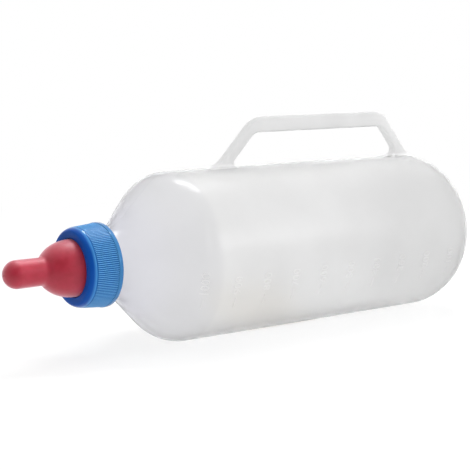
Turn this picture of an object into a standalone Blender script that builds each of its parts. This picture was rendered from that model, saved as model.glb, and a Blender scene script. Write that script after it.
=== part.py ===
# Lamb feeding bottle: a blow-moulded bottle with a strap handle, a screw ring, a rubber teat and a label.
# Metres, +Z up. Every piece is drawn as if the bottle stood on its base: heights run along +Z from the base
# to the teat, and the handle is on the +X side. An empty then lays the bottle down, teat to -X, handle up.
import bpy
import bmesh
from math import acos, asin, atan, cos, pi, radians, sin, sqrt, tan
from mathutils import Matrix, Vector

for old in list(bpy.data.objects):
    bpy.data.objects.remove(old, do_unlink=True)

# Clearance between pieces that touch, and facets round each turned piece
GAP = 0.0003
AROUND = 64
ARC_STEP = radians(13)

# Bottle body
BODY_RADIUS = 0.0430
BODY_STRAIGHT = 0.1590
BOTTLE_WALL = 0.0014
BASE_CORNER_RADIUS = 0.0260
RING_OUTER_RADIUS = 0.0270
RING_WIDTH = 0.0035
PUSH_UP = 0.0040
SHOULDER_RADIUS = 0.0201
SHOULDER_ANGLE = radians(44)

# Neck and its thread
NECK_FILLET = 0.0150
NECK_RADIUS = 0.0169
NECK_LENGTH = 0.0131
THREAD_PITCH = 0.0045
THREAD_DEPTH = 0.0012
THREAD_LAND = 0.0008
THREAD_TURNS = 2.0
THREAD_BELOW_LIP = 0.0022

# Handle: a flat strap moulded on the body
FINGER_ROOM = 0.0172
GRIP_DEPTH = 0.0080
LEG_WIDTH = 0.0056
STRAP_THICKNESS = 0.0050
STRAP_EDGE = 0.0012
HANDLE_REAR_FOOT = 0.0200
HANDLE_SPAN = 0.1360
FRONT_RAKE = radians(46)
REAR_RAKE = radians(51)
FRONT_TOP_RADIUS = 0.0170
REAR_TOP_RADIUS = 0.0080
FOOT_FLARE = 0.0150
GAP_FRONT_RADIUS = 0.0080
GAP_REAR_RADIUS = 0.0045
GAP_FRONT_FLARE = 0.0022
GAP_REAR_FLARE = 0.0032

# Raised volume marks, one for each 100 ml
MARK_COUNT = 10
MARK_VOLUME = 0.0001
MARK_FIRST_HEIGHT = 0.0261
MARK_LENGTH = 0.0060
MARK_WIDTH = 0.0010
MARK_PROUD = 0.0004
MARK_SIDE_ANGLE = radians(26)

# Screw ring: its skirt clears the neck's thread and tapers a little to a well rounded front edge
CAP_WALL = 0.0021
CAP_TAPER = 0.0008
CAP_LENGTH = 0.0169
CAP_TOP = 0.0018
CAP_EDGE_DEPTH = 0.0026
CAP_EDGE_LENGTH = 0.0050
CAP_BAND = 0.0024
CAP_BAND_PROUD = 0.0002
RIB_COUNT = 128
RIB_GROOVE = 0.00035
RIB_BELOW_FACE = 0.0033
CAP_THREAD_LAND = 0.0015
CAP_THREAD_TURNS = 1.75

# Teat
TEAT_LENGTH = 0.0356
BELL_RADIUS = 0.01385
BELL_RISE = 0.0174
NIPPLE_RADIUS = 0.0068
NIPPLE_FOOT_RADIUS = 0.0067
TEAT_WALL = 0.0020
FLANGE_THICKNESS = 0.0022
FEED_HOLE_RADIUS = 0.0008

# Label on the underside
LABEL_LENGTH = 0.0510
LABEL_WIDTH = 0.0420
LABEL_THICKNESS = 0.0003
LABEL_BELOW_SHOULDER = 0.0940
LABEL_NEAR_EDGE = 0.0063

# Heights above the base, worked out from the sizes above
base_rise = sqrt(BASE_CORNER_RADIUS ** 2 - (BASE_CORNER_RADIUS - BODY_RADIUS + RING_OUTER_RADIUS) ** 2)
straight_top = base_rise + BODY_STRAIGHT
shoulder_end = straight_top + SHOULDER_RADIUS * sin(SHOULDER_ANGLE)
shoulder_end_radius = BODY_RADIUS - SHOULDER_RADIUS * (1 - cos(SHOULDER_ANGLE))
fillet_radius_at_cone = NECK_RADIUS + NECK_FILLET * (1 - cos(SHOULDER_ANGLE))
cone_end = shoulder_end + (shoulder_end_radius - fillet_radius_at_cone) / tan(SHOULDER_ANGLE)
neck_foot = cone_end + NECK_FILLET * sin(SHOULDER_ANGLE)
neck_lip = neck_foot + NECK_LENGTH
thread_start = neck_lip - THREAD_BELOW_LIP - THREAD_TURNS * THREAD_PITCH
flange_bottom = neck_lip + GAP
flange_top = flange_bottom + FLANGE_THICKNESS
cap_under = flange_top + GAP
cap_face = cap_under + CAP_TOP
cap_rear = cap_face - CAP_LENGTH
teat_tip = cap_face + TEAT_LENGTH

# Radii of the thread and of what goes over it
thread_crest = NECK_RADIUS + THREAD_DEPTH
cap_inside = thread_crest + GAP
cap_radius = cap_inside + CAP_WALL
cap_front_radius = cap_radius - CAP_TAPER
flange_radius = NECK_RADIUS + GAP

# A flat facet of every turned piece faces each side, so the bottle lies on a flat of its label
facet = 2 * pi / AROUND
flat_ratio = cos(facet / 2)
axis_height = (BODY_RADIUS + GAP) * flat_ratio + LABEL_THICKNESS

parts = bpy.data.collections.new("lamb_feeding_bottle")
cutters = bpy.data.collections.new("cutters")
bpy.context.scene.collection.children.link(parts)
bpy.context.scene.collection.children.link(cutters)


def oval(centre_r, centre_h, width, rise, start, end):
    """Points of an oval arc as (radius from the axis, height), angles measured from outward."""
    steps = max(2, round(abs(end - start) / ARC_STEP))
    points = []
    for i in range(steps + 1):
        angle = start + (end - start) * i / steps
        points.append((centre_r + width * cos(angle), centre_h + rise * sin(angle)))
    return points


def arc(centre_r, centre_h, radius, start, end):
    """Points of a round arc."""
    return oval(centre_r, centre_h, radius, radius, start, end)


def round_corners(corners):
    """Turns (x, y, radius) corners into a closed outline with an arc at each corner that has a radius."""
    outline = []
    for i, (x, y, radius) in enumerate(corners):
        here = Vector((x, y))
        before = (Vector(corners[i - 1][:2]) - here).normalized()
        after = (Vector(corners[(i + 1) % len(corners)][:2]) - here).normalized()
        if radius == 0:
            outline.append((x, y))
            continue
        half_turn = before.angle(after) / 2
        centre = here + (before + after).normalized() * radius / sin(half_turn)
        first = here + before * radius / tan(half_turn) - centre
        last = here + after * radius / tan(half_turn) - centre
        clockwise = first.angle_signed(last)
        steps = max(2, round(abs(clockwise) / ARC_STEP))
        for k in range(steps + 1):
            spoke = first.copy()
            spoke.rotate(Matrix.Rotation(-clockwise * k / steps, 2))
            outline.append(tuple(centre + spoke))
    return outline


def add_object(name, mesh, collection):
    """Links a new object with this mesh into the collection."""
    thing = bpy.data.objects.new(name, mesh)
    collection.objects.link(thing)
    if collection == cutters:
        thing.hide_render = True
        thing.display_type = "WIRE"
    return thing


def turned(name, profile, closed):
    """A turned piece: a profile of (radius, height) points swept once round Z by a Screw modifier."""
    start = facet / 2
    points = [(r * cos(start), r * sin(start), h) for r, h in profile]
    edges = [(i, i + 1) for i in range(len(points) - 1)]
    if closed:
        edges.append((len(points) - 1, 0))
    mesh = bpy.data.meshes.new(name)
    mesh.from_pydata(points, edges, [])
    thing = add_object(name, mesh, parts)
    screw = thing.modifiers.new("turn", "SCREW")
    screw.steps = AROUND
    screw.render_steps = AROUND
    screw.use_merge_vertices = True
    screw.merge_threshold = 0.00001
    return thing


def thread_ridge(name, root, crest, land, bottom, turns):
    """A helical ridge of pitch THREAD_PITCH from root radius to crest radius, starting at height bottom."""
    bm = bmesh.new()
    foot = land + abs(crest - root)
    corners = ((root, -foot / 2), (crest, -land / 2), (crest, land / 2), (root, foot / 2))
    face = bm.faces.new([bm.verts.new((r, 0, bottom + h)) for r, h in corners])
    steps = round(AROUND / 2 * turns)
    rise = THREAD_PITCH * turns / steps
    bmesh.ops.spin(bm, geom=face.verts[:] + face.edges[:] + [face], cent=(0, 0, 0), axis=(0, 0, 1),
                   dvec=(0, 0, rise), angle=2 * pi * turns, steps=steps)
    bmesh.ops.recalc_face_normals(bm, faces=bm.faces)
    mesh = bpy.data.meshes.new(name)
    bm.to_mesh(mesh)
    bm.free()
    return add_object(name, mesh, cutters)


def combine(thing, other, operation):
    """Joins or cuts one object with another by an exact Boolean."""
    modifier = thing.modifiers.new(other.name, "BOOLEAN")
    modifier.object = other
    modifier.operation = operation
    modifier.solver = "EXACT"


def coloured(thing, name, colour, roughness, transmission=0.0):
    """Gives the object its own Principled material."""
    material = bpy.data.materials.new(name)
    material.use_nodes = True
    shader = material.node_tree.nodes["Principled BSDF"]
    shader.inputs["Base Color"].default_value = (*colour, 1)
    shader.inputs["Roughness"].default_value = roughness
    shader.inputs["Metallic"].default_value = 0
    shader.inputs["Transmission Weight"].default_value = transmission
    material.diffuse_color = (*colour, 1)
    thing.data.materials.append(material)


def body_radius(height):
    """Outer radius of the bottle at a height on its base corner, straight part or shoulder arc."""
    if height < base_rise:
        drop = base_rise - height
        return BODY_RADIUS - BASE_CORNER_RADIUS + sqrt(max(BASE_CORNER_RADIUS ** 2 - drop ** 2, 0))
    if height > straight_top:
        rise = height - straight_top
        return BODY_RADIUS - SHOULDER_RADIUS + sqrt(max(SHOULDER_RADIUS ** 2 - rise ** 2, 0))
    return BODY_RADIUS


def bottle_profile():
    """The bottle's outer surface from the lip down to the middle of the push-up."""
    points = [(NECK_RADIUS, neck_lip), (NECK_RADIUS, neck_foot)]
    fillet = arc(NECK_RADIUS + NECK_FILLET, neck_foot, NECK_FILLET, pi, pi + SHOULDER_ANGLE)
    points += fillet[1:]
    shoulder = arc(BODY_RADIUS - SHOULDER_RADIUS, straight_top, SHOULDER_RADIUS, SHOULDER_ANGLE, 0)
    points += shoulder
    ring_angle = asin(base_rise / BASE_CORNER_RADIUS)
    points += arc(BODY_RADIUS - BASE_CORNER_RADIUS, base_rise, BASE_CORNER_RADIUS, 0, -ring_angle)
    ring_inner = RING_OUTER_RADIUS - RING_WIDTH
    points += [(ring_inner, 0), (ring_inner - PUSH_UP, PUSH_UP), (0, PUSH_UP)]
    return points


def handle_outline():
    """The strap's outline as (distance from the axis, height), its feet ending inside the bottle's wall."""
    grip_under = BODY_RADIUS + FINGER_ROOM
    grip_top = grip_under + GRIP_DEPTH
    front_foot = HANDLE_REAR_FOOT + HANDLE_SPAN
    skin = BODY_RADIUS - GAP
    front_slant = 1 / tan(FRONT_RAKE)
    rear_slant = 1 / tan(REAR_RAKE)
    front_width = LEG_WIDTH / sin(FRONT_RAKE)
    rear_width = LEG_WIDTH / sin(REAR_RAKE)
    top_front = front_foot - (grip_top - BODY_RADIUS) * front_slant
    top_rear = HANDLE_REAR_FOOT + (grip_top - BODY_RADIUS) * rear_slant
    under_front = front_foot - front_width - FINGER_ROOM * front_slant
    under_rear = HANDLE_REAR_FOOT + rear_width + FINGER_ROOM * rear_slant
    gap_front = front_foot - front_width
    gap_rear = HANDLE_REAR_FOOT + rear_width
    flare_reach = FOOT_FLARE * tan(FRONT_RAKE / 2)
    front_reach = GAP_FRONT_FLARE / tan(FRONT_RAKE / 2) + GAP
    rear_reach = GAP_REAR_FLARE / tan(REAR_RAKE / 2) + GAP
    sunk = BOTTLE_WALL / 2
    return round_corners([
        (body_radius(front_foot + flare_reach) - sunk, front_foot + flare_reach, 0),
        (skin, front_foot + flare_reach, 0),
        (skin, front_foot, FOOT_FLARE),
        (grip_top, top_front, FRONT_TOP_RADIUS),
        (grip_top, top_rear, REAR_TOP_RADIUS),
        (body_radius(HANDLE_REAR_FOOT) - sunk, HANDLE_REAR_FOOT, 0),
        (body_radius(gap_rear + rear_reach) - sunk, gap_rear + rear_reach, 0),
        (skin, gap_rear + rear_reach, 0),
        (skin, gap_rear, GAP_REAR_FLARE),
        (grip_under, under_rear, GAP_REAR_RADIUS),
        (grip_under, under_front, GAP_FRONT_RADIUS),
        (skin, gap_front, GAP_FRONT_FLARE),
        (skin, gap_front - front_reach, 0),
        (body_radius(gap_front - front_reach) - sunk, gap_front - front_reach, 0),
    ])


def handle_strap():
    """The strap as a thick plate cut to the outline, its long edges rounded."""
    bm = bmesh.new()
    face = bm.faces.new([bm.verts.new((x, -STRAP_THICKNESS / 2, z)) for x, z in handle_outline()])
    side = bmesh.ops.extrude_face_region(bm, geom=[face])["geom"]
    moved = [v for v in side if isinstance(v, bmesh.types.BMVert)]
    bmesh.ops.translate(bm, vec=(0, STRAP_THICKNESS, 0), verts=moved)
    bmesh.ops.recalc_face_normals(bm, faces=bm.faces)
    rim = [e for e in bm.edges if abs(e.verts[0].co.y - e.verts[1].co.y) < GAP]
    bmesh.ops.bevel(bm, geom=rim, offset=STRAP_EDGE, segments=2, profile=0.5, affect="EDGES",
                    clamp_overlap=True)
    mesh = bpy.data.meshes.new("handle_strap")
    bm.to_mesh(mesh)
    bm.free()
    return add_object("handle_strap", mesh, cutters)


def volume_marks():
    """A column of short raised bars low on the -Y side as the bottle lies, one for each 100 ml."""
    bm = bmesh.new()
    inner = BODY_RADIUS - BOTTLE_WALL
    spacing = MARK_VOLUME / (pi * inner ** 2)
    sunk = BOTTLE_WALL / 2
    turn = Matrix.Rotation(-pi / 2 - MARK_SIDE_ANGLE, 4, "Z")
    middle = Matrix.Translation(((MARK_PROUD - sunk) / 2, 0, 0))
    size = Matrix.Diagonal((MARK_PROUD + sunk, MARK_LENGTH, MARK_WIDTH, 1))
    for i in range(MARK_COUNT):
        height = MARK_FIRST_HEIGHT + i * spacing
        if height > shoulder_end:
            break
        skin = Matrix.Translation((body_radius(height) * flat_ratio, 0, height))
        lean = Matrix.Rotation(-asin(max(height - straight_top, 0) / SHOULDER_RADIUS), 4, "Y")
        bmesh.ops.create_cube(bm, size=1, matrix=turn @ skin @ lean @ middle @ size)
    mesh = bpy.data.meshes.new("volume_marks")
    bm.to_mesh(mesh)
    bm.free()
    return add_object("volume_marks", mesh, cutters)


def make_bottle():
    """The bottle: a thin skin drawn in from its outer surface, with thread, handle and marks joined on."""
    bottle = turned("bottle", bottle_profile(), False)
    wall = bottle.modifiers.new("wall", "SOLIDIFY")
    wall.thickness = BOTTLE_WALL
    wall.offset = -1
    wall.use_even_offset = True
    root = NECK_RADIUS - BOTTLE_WALL / 2
    thread = thread_ridge("neck_thread", root, thread_crest, THREAD_LAND, thread_start, THREAD_TURNS)
    combine(bottle, thread, "UNION")
    combine(bottle, handle_strap(), "UNION")
    combine(bottle, volume_marks(), "UNION")
    coloured(bottle, "natural_polyethylene", (0.80, 0.81, 0.82), 0.35, 0.3)
    return bottle


def cap_profile():
    """The ring's section as a closed loop: round the front edge, down the skirt, then up the inside."""
    hole = BELL_RADIUS + GAP
    band = cap_radius + CAP_BAND_PROUD
    band_top = cap_rear + CAP_BAND
    edge_start = cap_face - CAP_EDGE_LENGTH
    points = oval(cap_front_radius - CAP_EDGE_DEPTH, edge_start, CAP_EDGE_DEPTH, CAP_EDGE_LENGTH, pi / 2, 0)
    points += [(cap_radius, band_top), (band, band_top - CAP_BAND_PROUD), (band, cap_rear + CAP_BAND_PROUD)]
    points += [(cap_radius, cap_rear), (cap_inside, cap_rear), (cap_inside, neck_lip)]
    points += [(flange_radius + GAP, flange_bottom), (flange_radius + GAP, cap_under)]
    points += [(hole, cap_under), (hole, cap_face)]
    return points


def rib_grooves():
    """Fine V grooves along the skirt, which leave the ribs between them."""
    bm = bmesh.new()
    bottom = cap_rear + CAP_BAND
    top = cap_face - RIB_BELOW_FACE
    slope = CAP_TAPER / (cap_face - CAP_EDGE_LENGTH - bottom)
    middle_radius = cap_radius - slope * (top - bottom) / 2
    lean = Matrix.Rotation(-atan(slope), 4, "Y") @ Matrix.Rotation(pi / 4, 4, "Z")
    side = RIB_GROOVE * sqrt(2)
    size = Matrix.Diagonal((side, side, top - bottom, 1))
    out = Matrix.Translation((middle_radius * flat_ratio, 0, (top + bottom) / 2))
    for i in range(RIB_COUNT):
        turn = Matrix.Rotation(2 * pi * (i + 0.5) / RIB_COUNT, 4, "Z")
        bmesh.ops.create_cube(bm, size=1, matrix=turn @ out @ lean @ size)
    mesh = bpy.data.meshes.new("rib_grooves")
    bm.to_mesh(mesh)
    bm.free()
    return add_object("rib_grooves", mesh, cutters)


def make_cap():
    """The screw ring: a turned shell with grooves round its skirt and a thread inside."""
    cap = turned("cap", cap_profile(), True)
    combine(cap, rib_grooves(), "DIFFERENCE")
    root = cap_inside + (cap_front_radius - cap_inside) / 3
    crest = NECK_RADIUS + GAP
    between_turns = thread_start + THREAD_PITCH / 2
    thread = thread_ridge("cap_thread", root, crest, CAP_THREAD_LAND, between_turns, CAP_THREAD_TURNS)
    combine(cap, thread, "UNION")
    coloured(cap, "blue_polypropylene", (0.03, 0.20, 0.58), 0.35)
    return cap


def teat_profile():
    """The teat's section as a closed loop: outside from the feed hole down, then back up the inside."""
    nose = teat_tip - NIPPLE_RADIUS
    nose_start = acos(FEED_HOLE_RADIUS / NIPPLE_RADIUS)
    points = arc(0, nose, NIPPLE_RADIUS, nose_start, 0)
    points += oval(0, cap_face, BELL_RADIUS, BELL_RISE, acos(NIPPLE_FOOT_RADIUS / BELL_RADIUS), 0)
    points += [(BELL_RADIUS, flange_top), (flange_radius, flange_top), (flange_radius, flange_bottom)]
    inner_bell = BELL_RADIUS - TEAT_WALL
    inner_foot = NIPPLE_FOOT_RADIUS - TEAT_WALL
    inner_rise = BELL_RISE - TEAT_WALL / 2
    points.append((inner_bell, flange_bottom))
    points += oval(0, cap_face, inner_bell, inner_rise, 0, acos(inner_foot / inner_bell))
    inner_nose = NIPPLE_RADIUS - TEAT_WALL
    points += arc(0, nose, inner_nose, 0, acos(FEED_HOLE_RADIUS / inner_nose))
    return points


def make_teat():
    """The hollow rubber teat, turned in one piece with its flange."""
    teat = turned("teat", teat_profile(), True)
    coloured(teat, "red_rubber", (0.50, 0.05, 0.09), 0.5)
    return teat


def make_label():
    """The sticker: a strip of the body's own facets, lifted by the clearance and given its thickness."""
    bm = bmesh.new()
    radius = BODY_RADIUS + GAP
    near_facets = round(LABEL_NEAR_EDGE / (radius * facet) - 0.5)
    start = pi + (near_facets + 0.5) * facet
    low = straight_top - LABEL_BELOW_SHOULDER
    ends = [bm.verts.new((radius * cos(start), radius * sin(start), h)) for h in (low, low + LABEL_LENGTH)]
    edge = bm.edges.new(ends)
    facets = round(LABEL_WIDTH / (radius * facet))
    bmesh.ops.spin(bm, geom=ends + [edge], cent=(0, 0, 0), axis=(0, 0, 1), dvec=(0, 0, 0),
                   angle=-facets * facet, steps=facets)
    mesh = bpy.data.meshes.new("label")
    bm.to_mesh(mesh)
    bm.free()
    label = add_object("label", mesh, parts)
    paper = label.modifiers.new("paper", "SOLIDIFY")
    paper.thickness = LABEL_THICKNESS
    paper.offset = 1
    paper.use_even_offset = True
    coloured(label, "buff_paper", (0.66, 0.56, 0.45), 0.7)
    return label


make_bottle()
make_cap()
make_teat()
make_label()

lay_down = bpy.data.objects.new("lay_down", None)
parts.objects.link(lay_down)
lay_down.location = (teat_tip / 2, 0, axis_height)
lay_down.rotation_euler = (0, -pi / 2, 0)
for piece in [*parts.objects, *cutters.objects]:
    if piece != lay_down:
        piece.parent = lay_down
        for polygon in piece.data.polygons:
            polygon.use_smooth = True
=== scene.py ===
from math import acos, asin, cos, pi, radians, sin, sqrt, tan

import bmesh
import bpy
from mathutils import Matrix, Vector


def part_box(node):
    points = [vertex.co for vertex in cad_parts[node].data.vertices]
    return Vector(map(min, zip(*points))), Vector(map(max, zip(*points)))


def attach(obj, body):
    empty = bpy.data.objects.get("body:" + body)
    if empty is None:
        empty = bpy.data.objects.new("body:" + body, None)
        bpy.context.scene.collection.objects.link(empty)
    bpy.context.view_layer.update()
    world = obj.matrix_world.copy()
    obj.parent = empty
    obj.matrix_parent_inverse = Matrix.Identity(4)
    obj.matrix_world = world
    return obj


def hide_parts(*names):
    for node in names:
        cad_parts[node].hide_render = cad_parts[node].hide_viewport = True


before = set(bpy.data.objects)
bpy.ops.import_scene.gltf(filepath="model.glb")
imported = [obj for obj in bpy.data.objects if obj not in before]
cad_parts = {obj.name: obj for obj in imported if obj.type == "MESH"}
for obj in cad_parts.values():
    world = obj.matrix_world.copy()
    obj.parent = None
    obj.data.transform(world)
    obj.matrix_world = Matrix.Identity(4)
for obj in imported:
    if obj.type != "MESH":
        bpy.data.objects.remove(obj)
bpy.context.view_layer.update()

MM = 0.001

# The bottle is blow-moulded in one piece of natural polyethylene: a straight barrel with a round base corner
# and shoulder, drawn in to a screw neck. Its wall is thin and even, so it is turned as a skin and thickened
# inward. Lengths are in millimetres, with heights counted from the base ring toward the teat.
barrel_radius = 43.0
barrel_length = 159.0
bottle_wall = 1.4
base_corner = 26.0
base_ring_outer = 27.0
base_ring_width = 3.5
ring_slope_width = 1.5
ring_slope_rise = 1.0
push_up = 4.0
shoulder_bend = 20.1
shoulder_slope = radians(44)
neck_bend = 15.0
neck_radius = 16.9
neck_length = 13.1
lip_round = 0.5

base_rise = sqrt(base_corner ** 2 - (base_corner - barrel_radius + base_ring_outer) ** 2)
barrel_top = base_rise + barrel_length
shoulder_top = barrel_top + shoulder_bend * sin(shoulder_slope)
cone_drop = barrel_radius - shoulder_bend * (1 - cos(shoulder_slope)) - neck_radius
cone_drop -= neck_bend * (1 - cos(shoulder_slope))
neck_foot = shoulder_top + cone_drop / tan(shoulder_slope) + neck_bend * sin(shoulder_slope)
neck_lip = neck_foot + neck_length

bottle_low, bottle_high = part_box("bottle")
base_x = bottle_high.x
axis_z = bottle_low.z + bottle_high.y


def on_bottle(radius, angle, height):
    """A point round the bottle's axis: angle 0 is up under the handle, and negative angles turn toward -Y."""
    return Vector((base_x - height * MM, radius * MM * sin(angle), axis_z + radius * MM * cos(angle)))


def bend(centre, reach, start, end, steps):
    """Points along a round or oval bend as (radius, height), angles counted from straight outward."""
    width, rise = reach if isinstance(reach, tuple) else (reach, reach)
    turns = [start + (end - start) * i / steps for i in range(steps + 1)]
    return [(centre[0] + width * cos(t), centre[1] + rise * sin(t)) for t in turns]


def turned_piece(name, profile, around, closed):
    """A mesh made by turning a profile of (radius, height) points once round the bottle's axis."""
    mesh_maker = bmesh.new()
    rings = []
    for radius, height in profile:
        count = around if radius > 0 else 1
        spots = [on_bottle(radius, 2 * pi * i / around, height) for i in range(count)]
        rings.append([mesh_maker.verts.new(spot) for spot in spots])
    pairs = list(zip(rings, rings[1:]))
    if closed:
        pairs.append((rings[-1], rings[0]))
    for lower, upper in pairs:
        for i in range(around):
            corners = [lower[i % len(lower)], lower[(i + 1) % len(lower)],
                       upper[(i + 1) % len(upper)], upper[i % len(upper)]]
            mesh_maker.faces.new(list(dict.fromkeys(corners)))
    return finish_mesh(name, mesh_maker)


def finish_mesh(name, mesh_maker, sharp=radians(50)):
    """Turns a bmesh into a smooth-shaded object, with edges sharper than the angle kept crisp."""
    bmesh.ops.recalc_face_normals(mesh_maker, faces=mesh_maker.faces)
    mesh = bpy.data.meshes.new(name)
    mesh_maker.to_mesh(mesh)
    mesh_maker.free()
    mesh.shade_smooth()
    mesh.set_sharp_from_angle(angle=sharp)
    piece = bpy.data.objects.new(name, mesh)
    bpy.context.scene.collection.objects.link(piece)
    return piece


lip_steps, neck_steps, shoulder_steps, base_steps = 3, 20, 36, 22
lip = (neck_radius - lip_round, neck_lip - lip_round)
skin = bend(lip, lip_round, pi / 2, 0, lip_steps)
skin += [(neck_radius, neck_foot)]
skin += bend((neck_radius + neck_bend, neck_foot), neck_bend, pi, pi + shoulder_slope, neck_steps)[1:]
skin += bend((barrel_radius - shoulder_bend, barrel_top), shoulder_bend, shoulder_slope, 0, shoulder_steps)
base_turn = -asin(base_rise / base_corner)
skin += bend((barrel_radius - base_corner, base_rise), base_corner, 0, base_turn, base_steps)
ring_inner = base_ring_outer - base_ring_width
skin += [(ring_inner, 0), (ring_inner - ring_slope_width, ring_slope_rise)]
skin += [(ring_inner - push_up, push_up), (ring_inner / 2, push_up), (0, push_up)]
body_sides = 240
bottle_body = turned_piece("bottle_body", skin, body_sides, False)
wall = bottle_body.modifiers.new("wall", "SOLIDIFY")
wall.thickness = bottle_wall * MM
wall.offset = -1
wall.use_even_offset = True


def linear(hex_colour):
    """An sRGB hex colour as the linear RGBA that the shaders take."""
    parts = [int(hex_colour[i:i + 2], 16) / 255 for i in (1, 3, 5)]
    return (*[c / 12.92 if c <= 0.04045 else ((c + 0.055) / 1.055) ** 2.4 for c in parts], 1)


def add_node(tree, kind, settings=None, links=None, stops=()):
    """Adds a shader node with its settings, the links into its inputs and the stops of its colour ramp."""
    node = tree.nodes.new(kind)
    for key, value in (settings or {}).items():
        if isinstance(key, str) and hasattr(node, key):
            setattr(node, key, value)
        else:
            node.inputs[key].default_value = value
    for key, output in (links or {}).items():
        tree.links.new(output, node.inputs[key])
    for i, (position, colour) in enumerate(stops):
        stop = node.color_ramp.elements[i] if i < 2 else node.color_ramp.elements.new(position)
        stop.position = position
        stop.color = linear(colour)
    if stops:
        node.color_ramp.interpolation = "EASE"
    return node


def new_material(name):
    """An empty node material and its tree, with the output node in place."""
    material = bpy.data.materials.new(name)
    material.use_nodes = True
    material.node_tree.nodes.clear()
    return material, material.node_tree, add_node(material.node_tree, "ShaderNodeOutputMaterial")


# Natural polyethylene as it leaves the mould is milky, with a soft gloss. Its colour holds painted shade:
# greyer at the base and toward the neck, and faintly blue there. The finish has a slow waviness from the
# blowing, a fine matt grain from the blasted mould and a thin parting line in the plane of the handle.
polyethylene, tree, output = new_material("blown_natural_polyethylene")
place = add_node(tree, "ShaderNodeTexCoord").outputs["Object"]
split = add_node(tree, "ShaderNodeSeparateXYZ", links={"Vector": place})
along = add_node(tree, "ShaderNodeMapRange",
                 {"From Min": base_x - neck_lip * MM, "From Max": base_x}, {"Value": split.outputs["X"]})
# Painted shade: the shoulder, neck and base are painted greyer, the neck faintly blue, with a step at the
# shoulder's edge.
wall_tone_and_painted_shade = add_node(tree, "ShaderNodeValToRGB", links={"Fac": along.outputs["Result"]}, stops=[
    (0.00, "#EDECF4"), (0.10, "#EDEDF2"), (0.17, "#EBEBED"), (0.222, "#EBEBEC"), (0.238, "#F2F2F2"),
    (0.86, "#F3F3F3"), (1.00, "#E5E5E5")]).outputs["Color"]
cloud = add_node(tree, "ShaderNodeTexNoise", {"Scale": 1 / (30 * MM), "Detail": 3.0}, {"Vector": place})
cloud_tone = add_node(tree, "ShaderNodeValToRGB", links={"Fac": cloud.outputs["Fac"]}, stops=[
    (0.35, "#FBFBFB"), (0.65, "#FFFFFF")]).outputs["Color"]
tone = add_node(tree, "ShaderNodeMix", {"data_type": "RGBA", "blend_type": "MULTIPLY", 0: 1.0})
tree.links.new(wall_tone_and_painted_shade, tone.inputs[6])
tree.links.new(cloud_tone, tone.inputs[7])
waves = add_node(tree, "ShaderNodeTexNoise", {"Scale": 1 / (24 * MM), "Detail": 1.0}, {"Vector": place})
grain = add_node(tree, "ShaderNodeTexNoise", {"Scale": 1 / (0.8 * MM), "Detail": 2.0}, {"Vector": place})
off_plane = add_node(tree, "ShaderNodeMath", {"operation": "ABSOLUTE"}, {0: split.outputs["Y"]})
parting = add_node(tree, "ShaderNodeMapRange", {"interpolation_type": "SMOOTHSTEP", "From Min": 0.5 * MM,
                   "From Max": 0.1 * MM}, {"Value": off_plane.outputs[0]})
wavy = add_node(tree, "ShaderNodeBump", {"Strength": 0.15, "Distance": 0.5 * MM},
                {"Height": waves.outputs["Fac"]})
grainy = add_node(tree, "ShaderNodeBump", {"Strength": 0.06, "Distance": 0.02 * MM},
                  {"Height": grain.outputs["Fac"], "Normal": wavy.outputs["Normal"]})
seamed = add_node(tree, "ShaderNodeBump", {"Strength": 0.6, "Distance": 0.15 * MM},
                  {"Height": parting.outputs["Result"], "Normal": grainy.outputs["Normal"]})
gloss = add_node(tree, "ShaderNodeMapRange", {"To Min": 0.60, "To Max": 0.70},
                 {"Value": cloud.outputs["Fac"]})
shader = add_node(tree, "ShaderNodeBsdfPrincipled",
                  {"IOR": 1.09, "Transmission Weight": 0.96, "Metallic": 0.0, "Coat Weight": 0.35,
                   "Coat Roughness": 0.24, "Coat IOR": 1.5},
                  {"Base Color": tone.outputs[2], "Roughness": gloss.outputs["Result"],
                   "Normal": seamed.outputs["Normal"]})
tree.links.new(shader.outputs["BSDF"], output.inputs["Surface"])
bottle_body.data.materials.append(polyethylene)
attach(bottle_body, "bottle")
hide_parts("bottle")

# The handle is moulded with the bottle: a strap 5 mm thick in the plane of the parting line, whose legs lean
# toward each other and flare into the barrel. It is lofted from foot to foot, with rounded edges all along.
finger_room = 17.2
grip_depth = 8.0
leg_width = 5.6
strap_thickness = 5.0
strap_edge = 1.2
rear_foot = 20.0
handle_span = 136.0
front_rake = radians(46)
rear_rake = radians(51)
side_flare = 2.2

grip_under = barrel_radius + finger_room
grip_top = grip_under + grip_depth
front_foot = rear_foot + handle_span
sunk = 0.35
touching = 0.05
foot_fade = 8.0
arc_steps = 8
run_steps = 6
edge_steps = 3
run_out = 10.0
front_width = leg_width / sin(front_rake)
rear_width = leg_width / sin(rear_rake)
outer_rise = grip_top - barrel_radius
outer_corners = [
    (front_foot, barrel_radius, 15.0), (front_foot - outer_rise / tan(front_rake), grip_top, 17.0),
    (rear_foot + outer_rise / tan(rear_rake), grip_top, 8.0), (rear_foot, barrel_radius, 12.0)]
inner_corners = [
    (front_foot - front_width, barrel_radius, 2.2),
    (front_foot - front_width - finger_room / tan(front_rake), grip_under, 8.0),
    (rear_foot + rear_width + finger_room / tan(rear_rake), grip_under, 4.5),
    (rear_foot + rear_width, barrel_radius, 3.8)]


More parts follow.
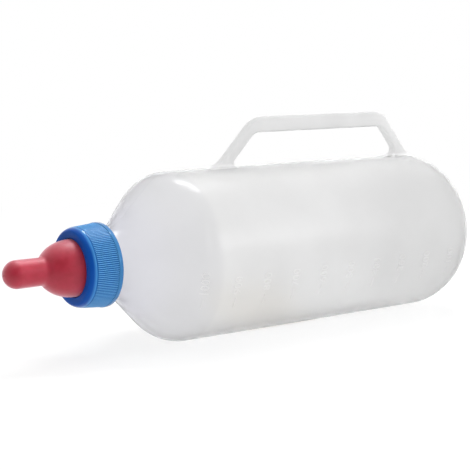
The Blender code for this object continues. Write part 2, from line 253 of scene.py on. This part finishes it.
def strap_edge_line(corners, start, end):
    """One edge of the strap as (height, radius) points. Each corner gives its place and its arc's radius."""
    line = []
    points = [Vector(start)] + [Vector(c[:2]) for c in corners] + [Vector(end)]
    for i, (_, _, radius) in enumerate(corners, 1):
        before = (points[i - 1] - points[i]).normalized()
        after = (points[i + 1] - points[i]).normalized()
        half = before.angle(after) / 2
        centre = points[i] + (before + after).normalized() * radius / sin(half)
        first = points[i] + before * radius / tan(half) - centre
        last = points[i] + after * radius / tan(half) - centre
        clockwise = first.angle_signed(last)
        arc = []
        for k in range(arc_steps + 1):
            spoke = first.copy()
            spoke.rotate(Matrix.Rotation(-clockwise * k / arc_steps, 2))
            arc.append(centre + spoke)
        if line:
            gap = arc[0] - line[-1]
            line += [line[-1] + gap * k / run_steps for k in range(1, run_steps)]
        line += arc
    return line


outer_edge = strap_edge_line(outer_corners, (front_foot + run_out, barrel_radius),
                             (rear_foot - run_out, barrel_radius))
inner_edge = strap_edge_line(inner_corners, (front_foot - front_width - run_out, barrel_radius),
                             (rear_foot + rear_width + run_out, barrel_radius))
handle_maker = bmesh.new()
sections = []
for outer, inner in zip(outer_edge, inner_edge):
    across = inner - outer
    width = across.length
    across.normalize()
    edge = min(strap_edge, width / 3)
    section = []
    corners = ((width - edge, 1, 0), (edge, 1, 1), (edge, -1, 2), (width - edge, -1, 3))
    for corner_u, corner_v, start in corners:
        for k in range(edge_steps + 1):
            turn = start * pi / 2 + k * pi / 2 / edge_steps
            spot = outer + across * (corner_u + edge * cos(turn))
            above = max(0.0, min(side_flare, spot.y - barrel_radius))
            flare = side_flare - sqrt(side_flare ** 2 - (side_flare - above) ** 2)
            sideways = corner_v * (strap_thickness / 2 - edge + flare) + edge * sin(turn)
            drop = sunk if spot.y < barrel_radius + touching else 0.0
            past_corner = max(0.0, base_rise - spot.x)
            rounding = base_corner - sqrt(base_corner ** 2 - past_corner ** 2)
            drop += rounding * max(0.0, 1 - (spot.y - barrel_radius) / foot_fade)
            section.append(handle_maker.verts.new(
                (base_x - spot.x * MM, sideways * MM, axis_z + (spot.y - drop) * MM)))
    sections.append(section)
for one, two in zip(sections, sections[1:]):
    for i in range(len(one)):
        handle_maker.faces.new([one[i], one[(i + 1) % len(one)], two[(i + 1) % len(one)], two[i]])
handle_maker.faces.new(sections[0])
handle_maker.faces.new(sections[-1])
handle = finish_mesh("handle", handle_maker, sharp=radians(60))

# The handle is solid, not a skin. The same plastic is matt and evenly cloudy there, and light passes through
# it with little bending. Each foot is painted white where it meets the wall: painted light that lifts the
# dark edge there.
solid_polyethylene, tree, output = new_material("solid_natural_polyethylene")
place = add_node(tree, "ShaderNodeTexCoord").outputs["Object"]
cloud = add_node(tree, "ShaderNodeTexNoise", {"Scale": 1 / (18 * MM), "Detail": 3.0}, {"Vector": place})
cloud_tone = add_node(tree, "ShaderNodeValToRGB", links={"Fac": cloud.outputs["Fac"]}, stops=[
    (0.3, "#DBDBDB"), (0.7, "#E0E0E0")]).outputs["Color"]
from_axis = add_node(tree, "ShaderNodeVectorMath", {"operation": "SUBTRACT", 1: (0.0, 0.0, axis_z)},
                     {0: place})
cross_place = add_node(tree, "ShaderNodeVectorMath", {"operation": "MULTIPLY", 1: (0.0, 1.0, 1.0)},
                       {0: from_axis.outputs[0]})
off_axis = add_node(tree, "ShaderNodeVectorMath", {"operation": "LENGTH"}, {0: cross_place.outputs[0]})
foot_light_reach = 0.8
above_skin = add_node(tree, "ShaderNodeMapRange",
                      {"interpolation_type": "SMOOTHSTEP", "From Min": barrel_radius * MM,
                       "From Max": (barrel_radius + foot_light_reach) * MM}, {"Value": off_axis.outputs["Value"]})
# Painted light: the colour turns white at each foot, fading out over the first 0.8 mm above the wall.
foot_painted_light = add_node(tree, "ShaderNodeMix", {"data_type": "RGBA", 6: (1, 1, 1, 1)},
                     {0: above_skin.outputs["Result"]})
tree.links.new(cloud_tone, foot_painted_light.inputs[7])
grain = add_node(tree, "ShaderNodeTexNoise", {"Scale": 1 / (0.8 * MM), "Detail": 2.0}, {"Vector": place})
grainy = add_node(tree, "ShaderNodeBump", {"Strength": 0.25, "Distance": 0.04 * MM},
                  {"Height": grain.outputs["Fac"]})
gloss = add_node(tree, "ShaderNodeMapRange", {"To Min": 0.7, "To Max": 0.8}, {"Value": cloud.outputs["Fac"]})
shader = add_node(tree, "ShaderNodeBsdfPrincipled",
                  {"IOR": 1.015, "Metallic": 0.0, "Transmission Weight": 0.85},
                  {"Base Color": foot_painted_light.outputs[2], "Roughness": gloss.outputs["Result"],
                   "Normal": grainy.outputs["Normal"]})
tree.links.new(shader.outputs["BSDF"], output.inputs["Surface"])
handle.data.materials.append(solid_polyethylene)
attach(handle, "bottle")

# The neck carries a raised thread of two turns, moulded with it, that runs out to nothing at both ends.
thread_pitch = 4.5
thread_depth = 1.2
thread_land = 0.8
thread_turns = 2.0
thread_below_lip = 2.2
thread_root = 0.1
thread_run_in = 1 / 8
turn_steps = 96


def ridge(name, root, crest, land, bottom, turns):
    """A right-hand thread ridge that swells from nothing over its first and last eighth of a turn."""
    maker = bmesh.new()
    rows = []
    for i in range(round(turn_steps * turns) + 1):
        turn = i / turn_steps
        swell = min(1.0, turn / thread_run_in, (turns - turn) / thread_run_in)
        height = bottom + turn * thread_pitch
        peak = root + (crest - root) * swell
        foot = land / 2 + abs(peak - root) / 2
        shape = ((root, -foot), (peak, -land / 2), (peak, land / 2), (root, foot))
        rows.append([maker.verts.new(on_bottle(r, 2 * pi * turn, height + dh)) for r, dh in shape])
    for one, two in zip(rows, rows[1:]):
        for i in range(3):
            maker.faces.new([one[i], one[i + 1], two[i + 1], two[i]])
    return finish_mesh(name, maker, sharp=radians(40))


thread_start = neck_lip - thread_below_lip - thread_turns * thread_pitch
neck_thread = ridge("neck_thread", neck_radius - thread_root, neck_radius + thread_depth, thread_land,
                    thread_start, thread_turns)
neck_thread.data.materials.append(polyethylene)
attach(neck_thread, "bottle")

# The volume marks are cut in the mould, so they stand proud of the wall: one short bar and a number for each
# 100 ml, in a column low on the near side, set to be read with the teat up.
mark_first = 26.1
mark_volume = 100e3
mark_count = 10
mark_turn = -pi / 2 - radians(26)
bar_length = 6.0
bar_width = 1.0
bar_proud = 0.25
bar_taper = 0.4
figure_height = 4.6
figure_proud = 0.15
figure_bevel = 0.1
figure_gap = 1.6
type_to_figure = 1.4
mark_root = 0.3

mark_spacing = mark_volume / (pi * (barrel_radius - bottle_wall) ** 2)
marks_maker = bmesh.new()


def on_skin(turn, along, proud):
    """A point this far along the skin from the base, on the barrel or its shoulder bend, and this proud."""
    lean = max(0.0, along - barrel_top) / shoulder_bend
    radius = barrel_radius - shoulder_bend + (shoulder_bend + proud) * cos(lean)
    return on_bottle(radius, turn, min(along, barrel_top) + (shoulder_bend + proud) * sin(lean))


def raise_figures(maker, words, turn, along):
    """Adds raised figures that read round the bottle, starting at this angle and centred this far along."""
    curve = bpy.data.curves.new("figures", "FONT")
    curve.body = words
    curve.size = figure_height * type_to_figure
    curve.align_y = "CENTER"
    curve.extrude = figure_proud
    curve.bevel_depth = figure_bevel
    curve.resolution_u = 3
    text = bpy.data.objects.new("figures", curve)
    bpy.context.scene.collection.objects.link(text)
    mesh = bpy.data.meshes.new_from_object(text.evaluated_get(bpy.context.evaluated_depsgraph_get()))
    bpy.data.objects.remove(text)
    start = len(maker.verts)
    maker.from_mesh(mesh)
    maker.verts.ensure_lookup_table()
    for vertex in maker.verts[start:]:
        x, y, z = vertex.co
        vertex.co = on_skin(turn + x / barrel_radius, along + y, max(z, -mark_root))
    bpy.data.meshes.remove(mesh)


for i in range(mark_count):
    height = mark_first + i * mark_spacing
    along = min(height, barrel_top) + shoulder_bend * asin(max(0.0, height - barrel_top) / shoulder_bend)
    bar = bmesh.ops.create_cube(marks_maker, size=1)["verts"]
    for vertex in bar:
        x, y, z = vertex.co
        shrink = bar_taper if z > 0 else 0.0
        turn = mark_turn + x * (bar_length - shrink) / barrel_radius
        vertex.co = on_skin(turn, along + y * (bar_width - shrink), bar_proud if z > 0 else -mark_root)
    figures_turn = mark_turn + (bar_length / 2 + figure_gap) / barrel_radius
    raise_figures(marks_maker, str(100 * (i + 1)), figures_turn, along)
volume_marks = finish_mesh("volume_marks", marks_maker, sharp=radians(35))

# The raised marks are the same plastic over the wall behind them, so they add no colour of their own: only
# the soft gloss on their edges shows them. Their grain has the scale of the wall's.
raised_polyethylene, tree, output = new_material("raised_natural_polyethylene")
place = add_node(tree, "ShaderNodeTexCoord").outputs["Object"]
grain = add_node(tree, "ShaderNodeTexNoise", {"Scale": 1 / (0.8 * MM), "Detail": 2.0}, {"Vector": place})
grain_tone = add_node(tree, "ShaderNodeValToRGB", links={"Fac": grain.outputs["Fac"]}, stops=[
    (0.3, "#FAFAFA"), (0.7, "#FFFFFF")]).outputs["Color"]
grainy = add_node(tree, "ShaderNodeBump", {"Strength": 0.20, "Distance": 0.03 * MM},
                  {"Height": grain.outputs["Fac"]})
gloss = add_node(tree, "ShaderNodeMapRange", {"To Min": 0.60, "To Max": 0.70},
                 {"Value": grain.outputs["Fac"]})
shader = add_node(tree, "ShaderNodeBsdfPrincipled",
                  {"IOR": 1.05, "Transmission Weight": 0.95, "Metallic": 0.0, "Coat Weight": 0.35,
                   "Coat Roughness": 0.2, "Coat IOR": 1.5},
                  {"Base Color": grain_tone, "Roughness": gloss.outputs["Result"],
                   "Normal": grainy.outputs["Normal"]})
tree.links.new(shader.outputs["BSDF"], output.inputs["Surface"])
volume_marks.data.materials.append(raised_polyethylene)
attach(volume_marks, "bottle")

# The label is a blank paper sticker with rounded corners, pressed on the underside of the barrel. The bottle
# lies on it, so it is the one piece that touches the floor.
label_low, label_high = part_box("label")
label_corner = 3.0
label_thickness = 0.3
label_lift = 0.3
label_length = (label_high.x - label_low.x) / MM
label_start = (base_x - label_high.x) / MM
label_radius = barrel_radius + label_lift
first_turn = asin(label_low.y / MM / label_radius)
last_turn = asin(label_high.y / MM / (label_radius + label_thickness))
label_width = (last_turn - first_turn) * label_radius

label_maker = bmesh.new()
columns, rows = 34, 28
grid = []
for i in range(columns + 1):
    line = []
    for j in range(rows + 1):
        u = label_length * i / columns
        inset = max(0.0, label_corner - min(u, label_length - u))
        trim = label_corner - sqrt(label_corner ** 2 - inset ** 2)
        v = trim + (label_width - 2 * trim) * j / rows
        spot = on_bottle(label_radius, pi - first_turn - v / label_radius, label_start + u)
        line.append(label_maker.verts.new(spot))
    grid.append(line)
for i in range(columns):
    for j in range(rows):
        label_maker.faces.new([grid[i][j], grid[i + 1][j], grid[i + 1][j + 1], grid[i][j + 1]])
label = finish_mesh("label", label_maker)

# Uncoated paper in a pale buff is matt, with a fine fibre that breaks the light. It is thin enough to let
# some of the light through.
paper, tree, output = new_material("uncoated_label_paper")
place = add_node(tree, "ShaderNodeTexCoord").outputs["Object"]
fibre = add_node(tree, "ShaderNodeTexNoise", {"Scale": 1 / (0.5 * MM), "Detail": 4.0}, {"Vector": place})
paper_tone = add_node(tree, "ShaderNodeValToRGB", links={"Fac": fibre.outputs["Fac"]}, stops=[
    (0.3, "#F9F5EF"), (0.7, "#FDFBF7")]).outputs["Color"]
tooth = add_node(tree, "ShaderNodeBump", {"Strength": 0.3, "Distance": 0.05 * MM},
                 {"Height": fibre.outputs["Fac"]})
rough = add_node(tree, "ShaderNodeMapRange", {"To Min": 0.45, "To Max": 0.6}, {"Value": fibre.outputs["Fac"]})
shader = add_node(tree, "ShaderNodeBsdfPrincipled",
                  {"IOR": 1.02, "Metallic": 0.0, "Transmission Weight": 0.97},
                  {"Base Color": paper_tone, "Roughness": rough.outputs["Result"],
                   "Normal": tooth.outputs["Normal"]})
tree.links.new(shader.outputs["BSDF"], output.inputs["Surface"])
label.data.materials.append(paper)
paper_sheet = label.modifiers.new("paper", "SOLIDIFY")
paper_sheet.thickness = label_thickness * MM
paper_sheet.offset = 1
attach(label, "bottle")
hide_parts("label")

# The screw ring is injection-moulded polypropylene. Its skirt tapers a little to a smooth rounded front edge,
# with 128 fine grip ribs between that and a smooth band at the rear. The lip of its face holds the teat.
cap_low, cap_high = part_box("cap")
cap_face = (base_x - cap_low.x) / MM
cap_rear = (base_x - cap_high.x) / MM
gap = 0.3
cap_inside = neck_radius + thread_depth + gap
cap_wall = 2.1
cap_taper = 0.8
cap_radius = cap_inside + cap_wall
cap_front_radius = cap_radius - cap_taper
edge_depth = 2.6
edge_length = 5.0
band_width = 2.4
band_proud = 0.2
rib_count = 128
rib_depth = 0.35
rib_start = 3.3
cap_top = 1.8
bell_radius = 13.85
flange_seat = neck_radius + 2 * gap
flange_thickness = 2.2

band_top = cap_rear + band_width
edge_start = cap_face - edge_length


def skirt_radius(height):
    """Outer radius of the ring's skirt over the crests of its ribs."""
    if height <= band_top:
        return cap_radius
    if height < edge_start:
        return cap_radius - cap_taper * (height - band_top) / (edge_start - band_top)
    lift = min(1.0, (height - edge_start) / edge_length)
    return cap_front_radius - edge_depth * (1 - sqrt(1 - lift ** 2))


hole = bell_radius + gap
rib_end = cap_face - rib_start
face_round = 0.4
mid_round = 0.3
outside = [(hole, cap_face - face_round), (hole + face_round * mid_round, cap_face - face_round * mid_round),
           (hole + face_round, cap_face)]
edge_turns = (90, 84, 77, 70, 62, 54, 46, 38, 30, 25)
edge_heights = [edge_start + edge_length * sin(radians(turn)) for turn in edge_turns]
outside += [(skirt_radius(h), h) for h in edge_heights]
rib_ramp = 0.12
rib_step = 0.02
rib_rows = 8
rib_heights = [rib_end + rib_step, rib_end - rib_ramp]
rib_heights += [rib_end + (band_top - rib_end) * k / rib_rows for k in range(1, rib_rows)]
rib_heights += [band_top + rib_ramp]
outside += [(skirt_radius(h), h) for h in rib_heights]
band = cap_radius + band_proud
rear_round = 0.5
inside = [(cap_radius, band_top), (band, band_top - band_proud), (band, cap_rear + rear_round),
          (band - rear_round * mid_round, cap_rear + rear_round * mid_round), (band - rear_round, cap_rear),
          (cap_inside, cap_rear), (cap_inside, neck_lip), (flange_seat, neck_lip + gap),
          (flange_seat, cap_face - cap_top), (hole, cap_face - cap_top)]
profile = outside + inside
ribbed = range(len(outside) - len(rib_heights) + 1, len(outside))
groove = [0.0, 0.12, 0.75, 1.0, 0.75, 0.12]
samples = len(groove)
around = rib_count * samples
cap_maker = bmesh.new()
rings = []
for k, (radius, height) in enumerate(profile):
    ring = []
    for i in range(around):
        cut = rib_depth * groove[i % samples] if k in ribbed else 0.0
        ring.append(cap_maker.verts.new(on_bottle(radius - cut, 2 * pi * i / around, height)))
    rings.append(ring)
for k in range(len(rings)):
    lower, upper = rings[k], rings[(k + 1) % len(rings)]
    for i in range(around):
        j = (i + 1) % around
        cap_maker.faces.new([lower[i], lower[j], upper[j], upper[i]])
cap = finish_mesh("cap", cap_maker, sharp=radians(38))

# Blue polypropylene has a clean semi-gloss from the polished mould, and a faint orange-peel in its
# reflections. Its colour holds painted shade, deepest at the face and a little deeper in the grooves, with a
# painted shadow line where the ribs begin and a painted highlight on the rounded front edge. The colour is
# also a little deeper at the band, and the skin is duller at the face.
polypropylene, tree, output = new_material("moulded_blue_polypropylene")
place = add_node(tree, "ShaderNodeTexCoord").outputs["Object"]
peel = add_node(tree, "ShaderNodeTexNoise", {"Scale": 1 / (3 * MM), "Detail": 1.0}, {"Vector": place})
peel_tone = add_node(tree, "ShaderNodeValToRGB", links={"Fac": peel.outputs["Fac"]}, stops=[
    (0.3, "#FBFBFB"), (0.7, "#FFFFFF")]).outputs["Color"]
split = add_node(tree, "ShaderNodeSeparateXYZ", links={"Vector": place})
cap_depth = cap_face - cap_rear
band_fade = 0.1
behind_face = add_node(tree, "ShaderNodeMapRange",
                       {"From Min": cap_low.x, "From Max": cap_high.x}, {"Value": split.outputs["X"]})
# Painted shade deepens the face, a painted highlight lightens the rounded front edge and a painted shadow
# line marks where the ribs begin; behind that the ring has its own blue.
cap_blue_and_painted_light = add_node(tree, "ShaderNodeValToRGB", links={"Fac": behind_face.outputs["Result"]}, stops=[
    (1.2 / cap_depth, "#124CA2"), (2.8 / cap_depth, "#3F82C2"), (3.3 / cap_depth, "#0F4B8C"),
    (3.8 / cap_depth, "#5797CD"), (1 - (band_width + band_fade) / cap_depth, "#5797CD"),
    (1 - (band_width - band_fade) / cap_depth, "#3A74A8")]).outputs["Color"]
cap_tone = add_node(tree, "ShaderNodeMix", {"data_type": "RGBA", "blend_type": "MULTIPLY", 0: 1.0})
tree.links.new(cap_blue_and_painted_light, cap_tone.inputs[6])
tree.links.new(peel_tone, cap_tone.inputs[7])
upright = add_node(tree, "ShaderNodeMath", {"operation": "SUBTRACT", 1: axis_z}, {0: split.outputs["Z"]})
round_turn = add_node(tree, "ShaderNodeMath", {"operation": "ARCTAN2"},
                      {0: split.outputs["Y"], 1: upright.outputs[0]})
rib_turn = add_node(tree, "ShaderNodeMath", {"operation": "MULTIPLY", 1: float(rib_count)},
                    {0: round_turn.outputs[0]})
rib_wave = add_node(tree, "ShaderNodeMath", {"operation": "COSINE"}, {0: rib_turn.outputs[0]})
in_groove = add_node(tree, "ShaderNodeMapRange", {"From Min": 0.3, "From Max": -0.8},
                     {"Value": rib_wave.outputs[0]})
behind_front = add_node(tree, "ShaderNodeMath", {"operation": "GREATER_THAN", 1: base_x - rib_end * MM},
                        {0: split.outputs["X"]})
before_band = add_node(tree, "ShaderNodeMath", {"operation": "LESS_THAN", 1: base_x - band_top * MM},
                       {0: split.outputs["X"]})
on_skirt = add_node(tree, "ShaderNodeMath", {"operation": "MULTIPLY"},
                    {0: behind_front.outputs[0], 1: before_band.outputs[0]})
groove_share = add_node(tree, "ShaderNodeMath", {"operation": "MULTIPLY"},
                        {0: in_groove.outputs["Result"], 1: on_skirt.outputs[0]})
# Painted shade: the grooves between the ribs are darkened.
groove_painted_shade = add_node(tree, "ShaderNodeMix", {"data_type": "RGBA", 7: linear("#0F4C90")},
                    {0: groove_share.outputs[0]})
tree.links.new(cap_tone.outputs[2], groove_painted_shade.inputs[6])
peeled = add_node(tree, "ShaderNodeBump", {"Strength": 0.02, "Distance": 0.03 * MM},
                  {"Height": peel.outputs["Fac"]})
cap_gloss = add_node(tree, "ShaderNodeMapRange", {"To Min": 0.12, "To Max": 0.17},
                     {"Value": peel.outputs["Fac"]})
sheer = add_node(tree, "ShaderNodeMapRange", {"From Min": 0.4 / cap_depth, "From Max": 1.4 / cap_depth,
                 "To Min": 0.06, "To Max": 0.36}, {"Value": behind_face.outputs["Result"]})
shader = add_node(tree, "ShaderNodeBsdfPrincipled",
                  {"IOR": 1.49, "Metallic": 0.0, "Specular Tint": linear("#8CC0F2")},
                  {"Base Color": groove_painted_shade.outputs[2], "Roughness": cap_gloss.outputs["Result"],
                   "Specular IOR Level": sheer.outputs["Result"], "Normal": peeled.outputs["Normal"]})
tree.links.new(shader.outputs["BSDF"], output.inputs["Surface"])
cap.data.materials.append(polypropylene)
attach(cap, "cap")
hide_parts("cap")

# The ring's own thread runs inside it at the same pitch, half a pitch further toward the teat than the one on
# the neck, so the turns of each lie between the turns of the other.
cap_thread_land = 1.5
cap_thread_turns = 1.75
cap_thread = ridge("cap_thread", cap_inside + thread_root, neck_radius + gap, cap_thread_land,
                   thread_start + thread_pitch / 2, cap_thread_turns)
cap_thread.data.materials.append(polypropylene)
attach(cap_thread, "cap")

# The teat is moulded in one piece of soft red rubber: a flange that the ring clamps on the neck, a round bell
# and a blunt nipple with a small hole at its tip.
teat_low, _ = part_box("teat")
teat_tip = (base_x - teat_low.x) / MM
bell_rise = 17.4
nipple_radius = 6.8
nipple_foot = 6.7
waist_round = 1.6
waist_share = 0.6
teat_wall = 2.0
feed_hole = 0.4
flange_radius = neck_radius + gap

nose_steps, bell_steps, inner_bell_steps, inner_nose_steps = 16, 22, 16, 10
nose = teat_tip - nipple_radius
hole_turn = acos(feed_hole / nipple_radius)
outer_skin = bend((0, nose), nipple_radius, hole_turn, 0, nose_steps)
bell_meets = cap_face + bell_rise * sin(acos(nipple_foot / bell_radius))
waist_turn = acos((nipple_foot + waist_round * waist_share) / bell_radius)
bell = bend((0, cap_face), (bell_radius, bell_rise), waist_turn, 0, bell_steps)
blend_from = Vector((nipple_foot, bell_meets + waist_round))
blend_corner = Vector((nipple_foot, bell_meets))
blend_to = Vector(bell[0])
blend_steps = 8
for k in range(blend_steps + 1):
    t = k / blend_steps
    spot = blend_from * (1 - t) ** 2 + blend_corner * 2 * t * (1 - t) + blend_to * t ** 2
    outer_skin.append(tuple(spot))
outer_skin += bell[1:]
flange_bottom = neck_lip + gap
flange_top = flange_bottom + flange_thickness
flange_fillet = 0.6
flange_round = 0.3
outer_skin += [(bell_radius, flange_top + flange_fillet),
               (bell_radius + flange_fillet / 3, flange_top + flange_fillet / 3),
               (bell_radius + flange_fillet, flange_top), (flange_radius - flange_round, flange_top),
               (flange_radius, flange_top - flange_round), (flange_radius, flange_bottom + flange_round),
               (flange_radius - flange_round, flange_bottom)]
inner_bell = bell_radius - teat_wall
inner_foot = nipple_foot - teat_wall
inner_nose = nipple_radius - teat_wall
inner_skin = [(inner_bell, flange_bottom)]
inner_rise = bell_rise - teat_wall / 2
inner_waist = acos(inner_foot / inner_bell)
inner_skin += bend((0, cap_face), (inner_bell, inner_rise), 0, inner_waist, inner_bell_steps)
inner_skin += bend((0, nose), inner_nose, 0, acos(feed_hole / inner_nose), inner_nose_steps)
teat_sides = 128
teat = turned_piece("teat", outer_skin + inner_skin, teat_sides, True)

# Natural rubber coloured red has a satin skin: a broad soft sheen, mottled a little in colour and gloss, with
# fine pores from the mould.
rubber, tree, output = new_material("moulded_red_rubber")
place = add_node(tree, "ShaderNodeTexCoord").outputs["Object"]
mottle = add_node(tree, "ShaderNodeTexNoise", {"Scale": 1 / (4 * MM), "Detail": 4.0, "Roughness": 0.6},
                  {"Vector": place})
rubber_tone = add_node(tree, "ShaderNodeValToRGB", links={"Fac": mottle.outputs["Fac"]}, stops=[
    (0.3, "#A0142A"), (0.7, "#AA1D34")]).outputs["Color"]
pores = add_node(tree, "ShaderNodeTexNoise", {"Scale": 1 / (0.6 * MM), "Detail": 3.0}, {"Vector": place})
skin_bump = add_node(tree, "ShaderNodeBump", {"Strength": 0.35, "Distance": 0.08 * MM},
                     {"Height": pores.outputs["Fac"]})
satin = add_node(tree, "ShaderNodeMapRange", {"To Min": 0.42, "To Max": 0.55},
                 {"Value": mottle.outputs["Fac"]})
rubber_bloom = linear("#FBDAE4")
shader = add_node(tree, "ShaderNodeBsdfPrincipled",
                  {"IOR": 1.52, "Metallic": 0.0, "Specular IOR Level": 0.6, "Specular Tint": rubber_bloom,
                   "Sheen Weight": 1.0, "Sheen Roughness": 0.4, "Sheen Tint": rubber_bloom,
                   "Subsurface Weight": 0.15, "Subsurface Scale": 1.5 * MM},
                  {"Base Color": rubber_tone, "Roughness": satin.outputs["Result"],
                   "Normal": skin_bump.outputs["Normal"]})
tree.links.new(shader.outputs["BSDF"], output.inputs["Surface"])
teat.data.materials.append(rubber)
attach(teat, "teat")
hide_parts("teat")

# The bottle lies on a plain white table. The camera sees the table as white, with a faint shadow left in it.
floor_mesh = bpy.data.meshes.new("table_top")
half_floor = 4.0
floor_z = -0.0002
floor_corners = [(-half_floor, -half_floor, floor_z), (half_floor, -half_floor, floor_z),
                 (half_floor, half_floor, floor_z), (-half_floor, half_floor, floor_z)]
floor_mesh.from_pydata(floor_corners, [], [(0, 1, 2, 3)])
floor = bpy.data.objects.new("table_top", floor_mesh)
bpy.context.scene.collection.objects.link(floor)
white_top, tree, output = new_material("plain_white_table")
seen = add_node(tree, "ShaderNodeLightPath")
away = add_node(tree, "ShaderNodeVectorMath", {"operation": "LENGTH"},
                {0: add_node(tree, "ShaderNodeTexCoord").outputs["Object"]})
fade = add_node(tree, "ShaderNodeMapRange",
                {"interpolation_type": "SMOOTHSTEP", "From Min": 0.10, "From Max": 0.55,
                 "To Min": 0.80, "To Max": 1.0}, {"Value": away.outputs["Value"]})
in_camera = add_node(tree, "ShaderNodeMath", {"operation": "MULTIPLY"},
                     {0: seen.outputs["Is Camera Ray"], 1: fade.outputs["Result"]})
in_mirror = add_node(tree, "ShaderNodeMath", {"operation": "MAXIMUM"},
                     {0: in_camera.outputs[0], 1: seen.outputs["Is Glossy Ray"]})
share = add_node(tree, "ShaderNodeMath", {"operation": "MAXIMUM"},
                 {0: in_mirror.outputs[0], 1: seen.outputs["Is Transmission Ray"]})
matt = add_node(tree, "ShaderNodeBsdfDiffuse", {"Color": linear("#F2F2F2")})
glow = add_node(tree, "ShaderNodeEmission", {"Color": (1, 1, 1, 1), "Strength": 1.0})
mixed = add_node(tree, "ShaderNodeMixShader",
                 links={0: share.outputs[0], 1: matt.outputs[0], 2: glow.outputs[0]})
tree.links.new(mixed.outputs[0], output.inputs["Surface"])
floor_mesh.materials.append(white_top)

# The room is a white studio, dim on the near left. The camera sees it as plain white.
world = bpy.data.worlds.new("white_studio")
bpy.context.scene.world = world
world.use_nodes = True
tree = world.node_tree
tree.nodes.clear()
output = add_node(tree, "ShaderNodeOutputWorld")
seen = add_node(tree, "ShaderNodeLightPath")
clear = add_node(tree, "ShaderNodeMath", {"operation": "MAXIMUM"},
                 {0: seen.outputs["Is Camera Ray"], 1: seen.outputs["Is Transmission Ray"]})
from_near_left = (0.42, 0.91, 0.0)
left = add_node(tree, "ShaderNodeVectorMath", {"operation": "DOT_PRODUCT", 1: from_near_left},
                {0: add_node(tree, "ShaderNodeTexCoord").outputs["Generated"]})
side = add_node(tree, "ShaderNodeMapRange",
                {"interpolation_type": "SMOOTHSTEP", "From Min": -1.0, "From Max": -0.25},
                {"Value": left.outputs["Value"]})
walls = add_node(tree, "ShaderNodeValToRGB", links={"Fac": side.outputs["Result"]}, stops=[
    (0.0, "#3A3A3C"), (1.0, "#FFFFFF")]).outputs["Color"]
colour = add_node(tree, "ShaderNodeMix", {"data_type": "RGBA", 7: (1, 1, 1, 1)}, {0: clear.outputs[0]})
tree.links.new(walls, colour.inputs[6])
bright = add_node(tree, "ShaderNodeMath", {"operation": "MAXIMUM"},
                  {0: clear.outputs[0], 1: seen.outputs["Is Glossy Ray"]})
strength = add_node(tree, "ShaderNodeMapRange", {"To Min": 0.58, "To Max": 1.0}, {"Value": bright.outputs[0]})
room = add_node(tree, "ShaderNodeBackground",
                links={"Color": colour.outputs[2], "Strength": strength.outputs["Result"]})
tree.links.new(room.outputs[0], output.inputs["Surface"])


def softbox(name, azimuth, elevation, distance, width, height, brightness, mirrored=True):
    """A soft light aimed at the bottle, its azimuth counted from -Y toward +X. Brightness is radiance.
    It doesn't shine through the plastic, which keeps its tone even, and unless mirrored it makes no glint."""
    a, e = radians(azimuth), radians(elevation)
    toward = Vector((sin(a) * cos(e), -cos(a) * cos(e), sin(e)))
    lamp = bpy.data.lights.new(name, "AREA")
    lamp.shape = "RECTANGLE"
    lamp.size = width
    lamp.size_y = height
    lamp.energy = brightness * pi * width * height
    lamp_object = bpy.data.objects.new(name, lamp)
    lamp_object.location = Vector((0, 0, axis_z)) + toward * distance
    lamp_object.rotation_mode = "QUATERNION"
    lamp_object.rotation_quaternion = toward.to_track_quat("Z", "Y")
    lamp_object.visible_transmission = False
    lamp_object.visible_glossy = mirrored
    bpy.context.scene.collection.objects.link(lamp_object)


softbox("overhead", 134, 66, 1.1, 0.60, 0.20, 23.0)
softbox("side_panel", 36, 20, 1.2, 0.40, 0.50, 3.0)
softbox("side_strip", 36, 17, 1.15, 0.36, 0.10, 3.5)
softbox("right_panel", 68, 18, 1.3, 1.1, 1.0, 5.0, False)
softbox("ceiling", -100, 80, 1.3, 0.9, 0.9, 1.9, False)
softbox("front_strip", -6, 22, 1.2, 0.2, 0.7, 4.0)

# The camera stands at the photograph's viewing angle: to the left of the near side and a little above.
camera_data = bpy.data.cameras.new("camera")
camera_data.lens = 99.574
camera_data.sensor_width = 36.0
camera_data.clip_start = 0.01
camera_data.clip_end = 20.0
camera = bpy.data.objects.new("camera", camera_data)
camera.location = (-0.41265, -0.53212, 0.14850)
aim = Vector((-0.00452, 0.0, 0.05075)) - camera.location
camera.rotation_mode = "QUATERNION"
camera.rotation_quaternion = aim.to_track_quat("-Z", "Y")
bpy.context.scene.collection.objects.link(camera)
bpy.context.scene.camera = camera
bpy.context.scene.view_settings.view_transform = "Standard"
